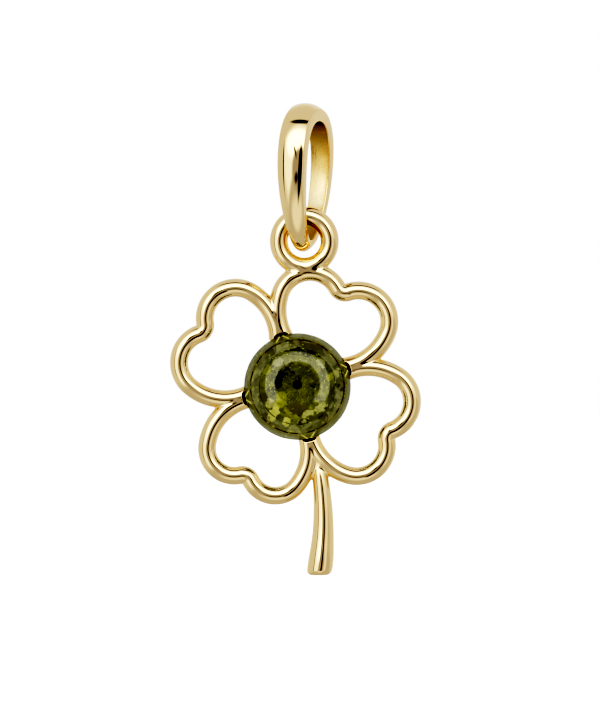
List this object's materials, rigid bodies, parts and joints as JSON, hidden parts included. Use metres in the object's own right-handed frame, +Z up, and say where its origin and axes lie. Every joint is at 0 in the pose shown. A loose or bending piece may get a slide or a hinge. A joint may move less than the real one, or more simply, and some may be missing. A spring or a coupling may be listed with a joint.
{
  "type": "four leaf clover pendant",
  "caption": "Four leaf clover pendant of open wire hearts round a domed round stone, with a stalk, a soldered top ring and a closed bail.",
  "frame": {"origin": "inner top of the bail, where a chain carries the pendant", "axes": "+Z up along the hanging pendant, -Y out of the front face of the clover, +X to the viewer's right"},
  "size_m": [0.0141, 0.0049, 0.0266],
  "materials": {
    "polished_gold": "polished",
    "olive_stone": "polished"
  },
  "bodies": {
    "hanger": {"bail": "polished_gold"},
    "clover": {"clover_frame": "polished_gold", "stone": "olive_stone"}
  },
  "joints": [
    {"name": "clover_swing", "type": "hinge", "parent": "hanger", "child": "clover", "pos_m": [-0.00028, 0, -0.00674], "axis": [0, 1, 0], "range_deg": [-60, 60]}
  ]
}
